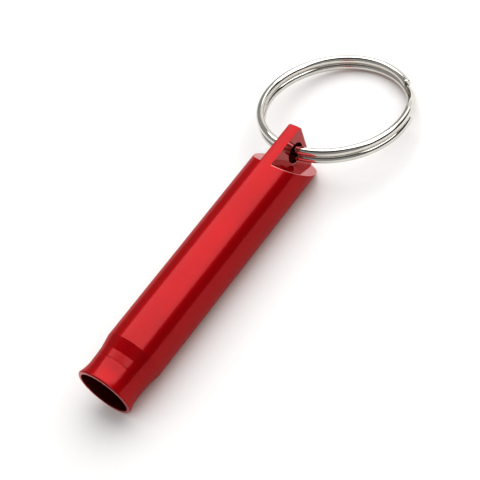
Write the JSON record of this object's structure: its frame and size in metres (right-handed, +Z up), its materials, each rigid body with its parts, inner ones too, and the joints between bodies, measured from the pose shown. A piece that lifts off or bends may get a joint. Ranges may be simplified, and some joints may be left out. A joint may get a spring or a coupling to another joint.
{
  "type": "survival whistle",
  "caption": "Slim round metal whistle with a waisted mouthpiece, an underside sound window and an obliquely cut ring lug that carries a split key ring.",
  "frame": {"origin": "on the surface that the whistle lies on, under the middle of the whistle and its ring", "axes": "+X along the tube from the mouth to the ring, +Y across it along the ring hole, +Z up"},
  "size_m": [0.0614, 0.0214, 0.008],
  "materials": {
    "red_anodised_aluminium": "satin red anodising",
    "black_plastic": "matt",
    "bright_steel": "polished nickel plate"
  },
  "bodies": {
    "whistle": {"whistle_body": "red_anodised_aluminium", "airway_plug": "black_plastic"},
    "ring": {"split_ring": "bright_steel"}
  },
  "joints": [
    {"name": "ring_swing", "type": "hinge", "parent": "whistle", "child": "ring", "pos_m": [0.00989, 0, 0.005], "axis": [0, -1, 0], "range_deg": [-150, 172]}
  ]
}
